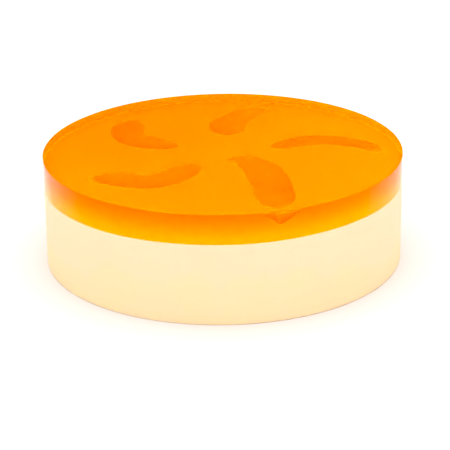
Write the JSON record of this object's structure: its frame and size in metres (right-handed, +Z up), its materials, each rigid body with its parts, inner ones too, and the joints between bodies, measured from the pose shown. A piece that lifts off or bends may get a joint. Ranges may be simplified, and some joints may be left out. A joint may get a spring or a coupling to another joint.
{
  "type": "peach jelly cake",
  "caption": "Uncut round cake: a thick pale cream mousse base under a clear orange jelly with peach slices set in it.",
  "frame": {"origin": "centre of the cake's flat base, on what it stands on", "axes": "+Z up along the cake's round axis; -Y towards the side the picture looks at"},
  "size_m": [0.2, 0.2, 0.0615],
  "materials": {
    "cream": "smooth set cream mousse, satin",
    "jelly": "clear orange fruit jelly, wet gloss"
  },
  "bodies": {
    "root": {"cream_layer": "cream", "jelly_layer": "jelly"}
  },
  "joints": []
}
